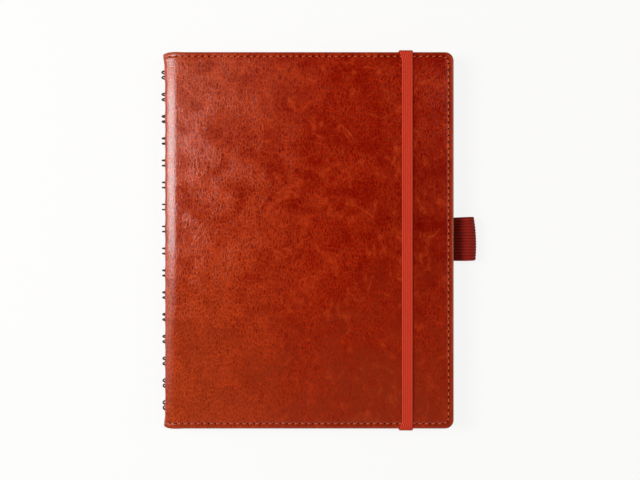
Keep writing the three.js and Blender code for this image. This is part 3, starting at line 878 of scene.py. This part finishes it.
def elastic_band():
    """Up the head side from the back cover, over the front cover and down the tail side."""
    width = band_high.x - band_low.x
    centre_x = (band_low.x + band_high.x) / 2
    side_y = HEAD_Y + BAND_GAP
    top_z = TOP_Z + BAND_GAP
    bend = RIM + BAND_GAP
    upright = top_z - bend - band_low.z
    rise_steps, bend_steps, run_steps = 6, 8, 60
    quarter = math.pi / 2

    def shift(y, z):
        from_edge = max(HEAD_Y - abs(y), 0) if z >= top_z - bend else 0.0
        amount = math.exp(-((from_edge / BAND_LEAN_LENGTH) ** 2))
        return lambda s: Vector((-BAND_LEAN * amount * (0.5 - s / width), 0, 0))

    stations = []

    def add(y, z, turn):
        point = Vector((centre_x, y, z))
        along = (point - stations[-1][0]).length + stations[-1][2] if stations else 0.0
        stations.append((point, Vector((0, math.cos(turn), math.sin(turn))), along, shift(y, z)))

    def add_bend(centre_y, first_turn):
        for i in range(bend_steps + 1):
            turn = first_turn + quarter * i / bend_steps
            add(centre_y + bend * math.cos(turn), top_z - bend + bend * math.sin(turn), turn)

    for i in range(rise_steps):
        add(side_y, band_low.z + upright * i / rise_steps, 0)
    add_bend(side_y - bend, 0)
    for i in range(1, run_steps):
        add((side_y - bend) * (1 - 2 * i / run_steps), top_z, quarter)
    add_bend(bend - side_y, quarter)
    for i in range(1, rise_steps + 1):
        add(-side_y, top_z - bend - upright * i / rise_steps, 2 * quarter)
    section = ribbed_section(width, BAND_THICKNESS, BAND_RIBS, BAND_RIB_DEPTH)
    made = webbing("elastic_band_woven", stations, Vector((1, 0, 0)), section, ELASTIC, 0)
    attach(made, "band")
    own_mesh(made)
    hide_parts("elastic_band")


def bezier(points, share):
    rest = 1 - share
    weights = (rest ** 3, 3 * rest ** 2 * share, 3 * rest * share ** 2, share ** 3)
    return sum((p * w for p, w in zip(points, weights)), Vector((0, 0, 0)))


def pen_loop():
    """One strip of webbing: out of the back cover, round and back in."""
    tab, neck = FORE_EDGE_X - PEN_TAB, FORE_EDGE_X + PEN_NECK
    low, high = PEN_TAB_Z, PEN_TAB_Z + PEN_TAB_GAP
    nose = pen_high.x - PEN_THICKNESS
    belly, crown = PEN_BELLY_Z + PEN_THICKNESS, pen_high.z - PEN_THICKNESS
    middle, bow = (belly + crown) / 2, (crown - belly) / 2
    turn_x = nose - bow
    # Two quarter rounds make the nose. A handle is how far a curve goes on straight at an end
    round_handle, tab_handle = 0.55 * bow, 1 * MM
    curves = (
        ((tab, low), (tab + tab_handle, low), (neck - tab_handle, low), (neck, low)),
        ((neck, low), (neck + 1.5 * MM, low), (turn_x - 3 * MM, belly), (turn_x, belly)),
        ((turn_x, belly), (turn_x + round_handle, belly), (nose, middle - round_handle), (nose, middle)),
        ((nose, middle), (nose, middle + round_handle), (turn_x + round_handle, crown), (turn_x, crown)),
        ((turn_x, crown), (turn_x - 4.5 * MM, crown), (neck + 2 * MM, high), (neck, high)),
        ((neck, high), (neck - tab_handle, high), (tab + tab_handle, high), (tab, high)),
    )
    steps = 10
    route = []
    for n, curve in enumerate(curves):
        points = [Vector((x, PEN_SPREAD / 2, z)) for x, z in curve]
        route += [bezier(points, i / steps) for i in range(0 if n == 0 else 1, steps + 1)]
    width = pen_high.y - pen_low.y + PEN_SPREAD

    def shift(x):
        """The nose of the loop is bowed: it reaches farthest a little below the middle."""
        share = min(max((x - neck) / (nose - neck), 0), 1)

        def moved(s):
            from_peak = (s / width - PEN_BOW_PLACE) / (0.5 + PEN_BOW_PLACE)
            return Vector((-PEN_BOW * share * from_peak ** 2, PEN_LEAN * share, 0))

        return moved

    stations, along = [], 0.0
    for i, point in enumerate(route):
        way = direction_at(route, i)
        along += (point - route[i - 1]).length if i else 0.0
        stations.append((point, Vector((way.z, 0, -way.x)), along, shift(point.x)))
    section = ribbed_section(width, PEN_THICKNESS, PEN_RIBS, PEN_RIB_DEPTH)
    made = webbing("pen_loop_woven", stations, Vector((0, -1, 0)), section, WEBBING, 1)
    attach(made, "back_cover")
    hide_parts("pen_loop")


# Pieces that the frame gives as they are


def dress_nodes():
    finishes = {
        "back_cover_board": BOARD,
        "front_cover_board": BOARD,
        "back_cover_lining": LINING,
        "front_cover_lining": LINING,
        "elastic_anchor_top": ELASTIC,
        "elastic_anchor_bottom": ELASTIC,
        "front_flyleaf": FLYLEAF,
        "back_flyleaf": FLYLEAF,
    }
    for name, node in frame["nodes"].items():
        node.data.materials.clear()
        node.data.materials.append(finishes.get(name, PAPER))


def covers():
    front = leather_skin("front_leather", 1)
    back = leather_skin("back_leather", -1)
    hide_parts("front_cover_leather")
    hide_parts("back_cover_leather", "spine_leather")
    stitching("front_stitch", 1)
    stitching("back_stitch", -1)
    wire_slit_shades("front_slit_shades", 1)
    wire_slit_shades("back_slit_shades", -1)


# Floor, light and camera


def floor():
    """A pale floor that keeps the book's shadow. What is seen and mirrored of it is nearly white."""
    bpy.ops.mesh.primitive_plane_add(size=FLOOR_SIZE, location=(0, 0, FLOOR_Z))
    made = bpy.context.object
    made.name = "floor"
    m = Material("white floor", 0.9, Specular_IOR_Level=0.1)
    m.finish(srgb("#f4f4f4"))
    glow = m.node("ShaderNodeEmission", Color=(1, 1, 1, 1), Strength=1.0)
    m.show_mixed(m.times(m.seen(), FLOOR_WHITE), m.shader, glow, "Material Output")
    made.data.materials.append(m.made)


def room():
    """A dim grey room, dark overhead. Low down it is white, for what is seen and mirrored alone."""
    world = bpy.data.worlds.new("studio")
    bpy.context.scene.world = world
    world.use_nodes = True
    n = Nodes(world.node_tree)
    direction = n.tree.nodes.new("ShaderNodeTexCoord").outputs["Generated"]
    height = n.node("ShaderNodeSeparateXYZ", Vector=direction).outputs["Z"]
    grey = n.tree.nodes["Background"]
    n.set(grey.inputs["Strength"], n.span(height, *ROOM_FADE, ROOM_STRENGTH, OVERHEAD_STRENGTH))
    white = n.node("ShaderNodeBackground", Color=(1, 1, 1, 1), Strength=BACKDROP_WHITE)
    low = n.span(height, *BACKDROP_FADE, 1.0, 0.0)
    n.show_mixed(n.times(n.seen(), low), grey, white, "World Output")


def lamps():
    """A softbox on the spine's side, weaker fills from both sides and the front, and a warm sheen."""
    for name, place, target, size, watts, colour in LAMPS:
        data = bpy.data.lights.new(name, "AREA")
        data.shape = "RECTANGLE"
        data.size, data.size_y = size
        data.energy = watts
        data.color = colour
        made = bpy.data.objects.new(name, data)
        made.location = place
        made.rotation_euler = (Vector(target) - Vector(place)).to_track_quat("-Z", "Y").to_euler()
        bpy.context.scene.collection.objects.link(made)


def camera():
    data = bpy.data.cameras.new("camera")
    data.sensor_width = SENSOR_WIDTH
    data.lens = FOCAL_PX / IMAGE_WIDTH * SENSOR_WIDTH
    data.shift_y = (AXIS_ROW - MIDDLE_ROW) / IMAGE_WIDTH
    data.clip_start = NEAR_CLIP
    made = bpy.data.objects.new("camera", data)
    made.location = (AXIS_X, AXIS_Y, TOP_Z + CAMERA_HEIGHT)
    bpy.context.scene.collection.objects.link(made)
    bpy.context.scene.camera = made


FLAT_END = profile()[-1][4]  # arc length from the middle of the spine to where the rim starts
LEATHER = leather_material()
THREAD = thread_material()
HOLE_SHADE = shadow_material()
WIRE = wire_material()
ELASTIC = cloth_material("red elastic", "#e8482e", "#a8230e", 0, rib_pitch=1.05, rib_strength=1.0)
# The webbing's dark tone is its colour in the cover's shadow, so its grooves carry painted shade.
WEBBING = cloth_material("maroon webbing", "#b02616", "#560502", 1, rib_pitch=1.67, rib_strength=0.8)
PAPER = paper_material("cream paper", "#f3eddd", "#ebe3cf")
FLYLEAF = paper_material("heavy paper", "#eadfc8", "#e0d3b8")
LINING = lining_material()
BOARD = board_material()

covers()
binding_wire()
elastic_band()
pen_loop()
dress_nodes()
floor()
room()
lamps()
camera()
bpy.context.scene.view_settings.view_transform = "Standard"
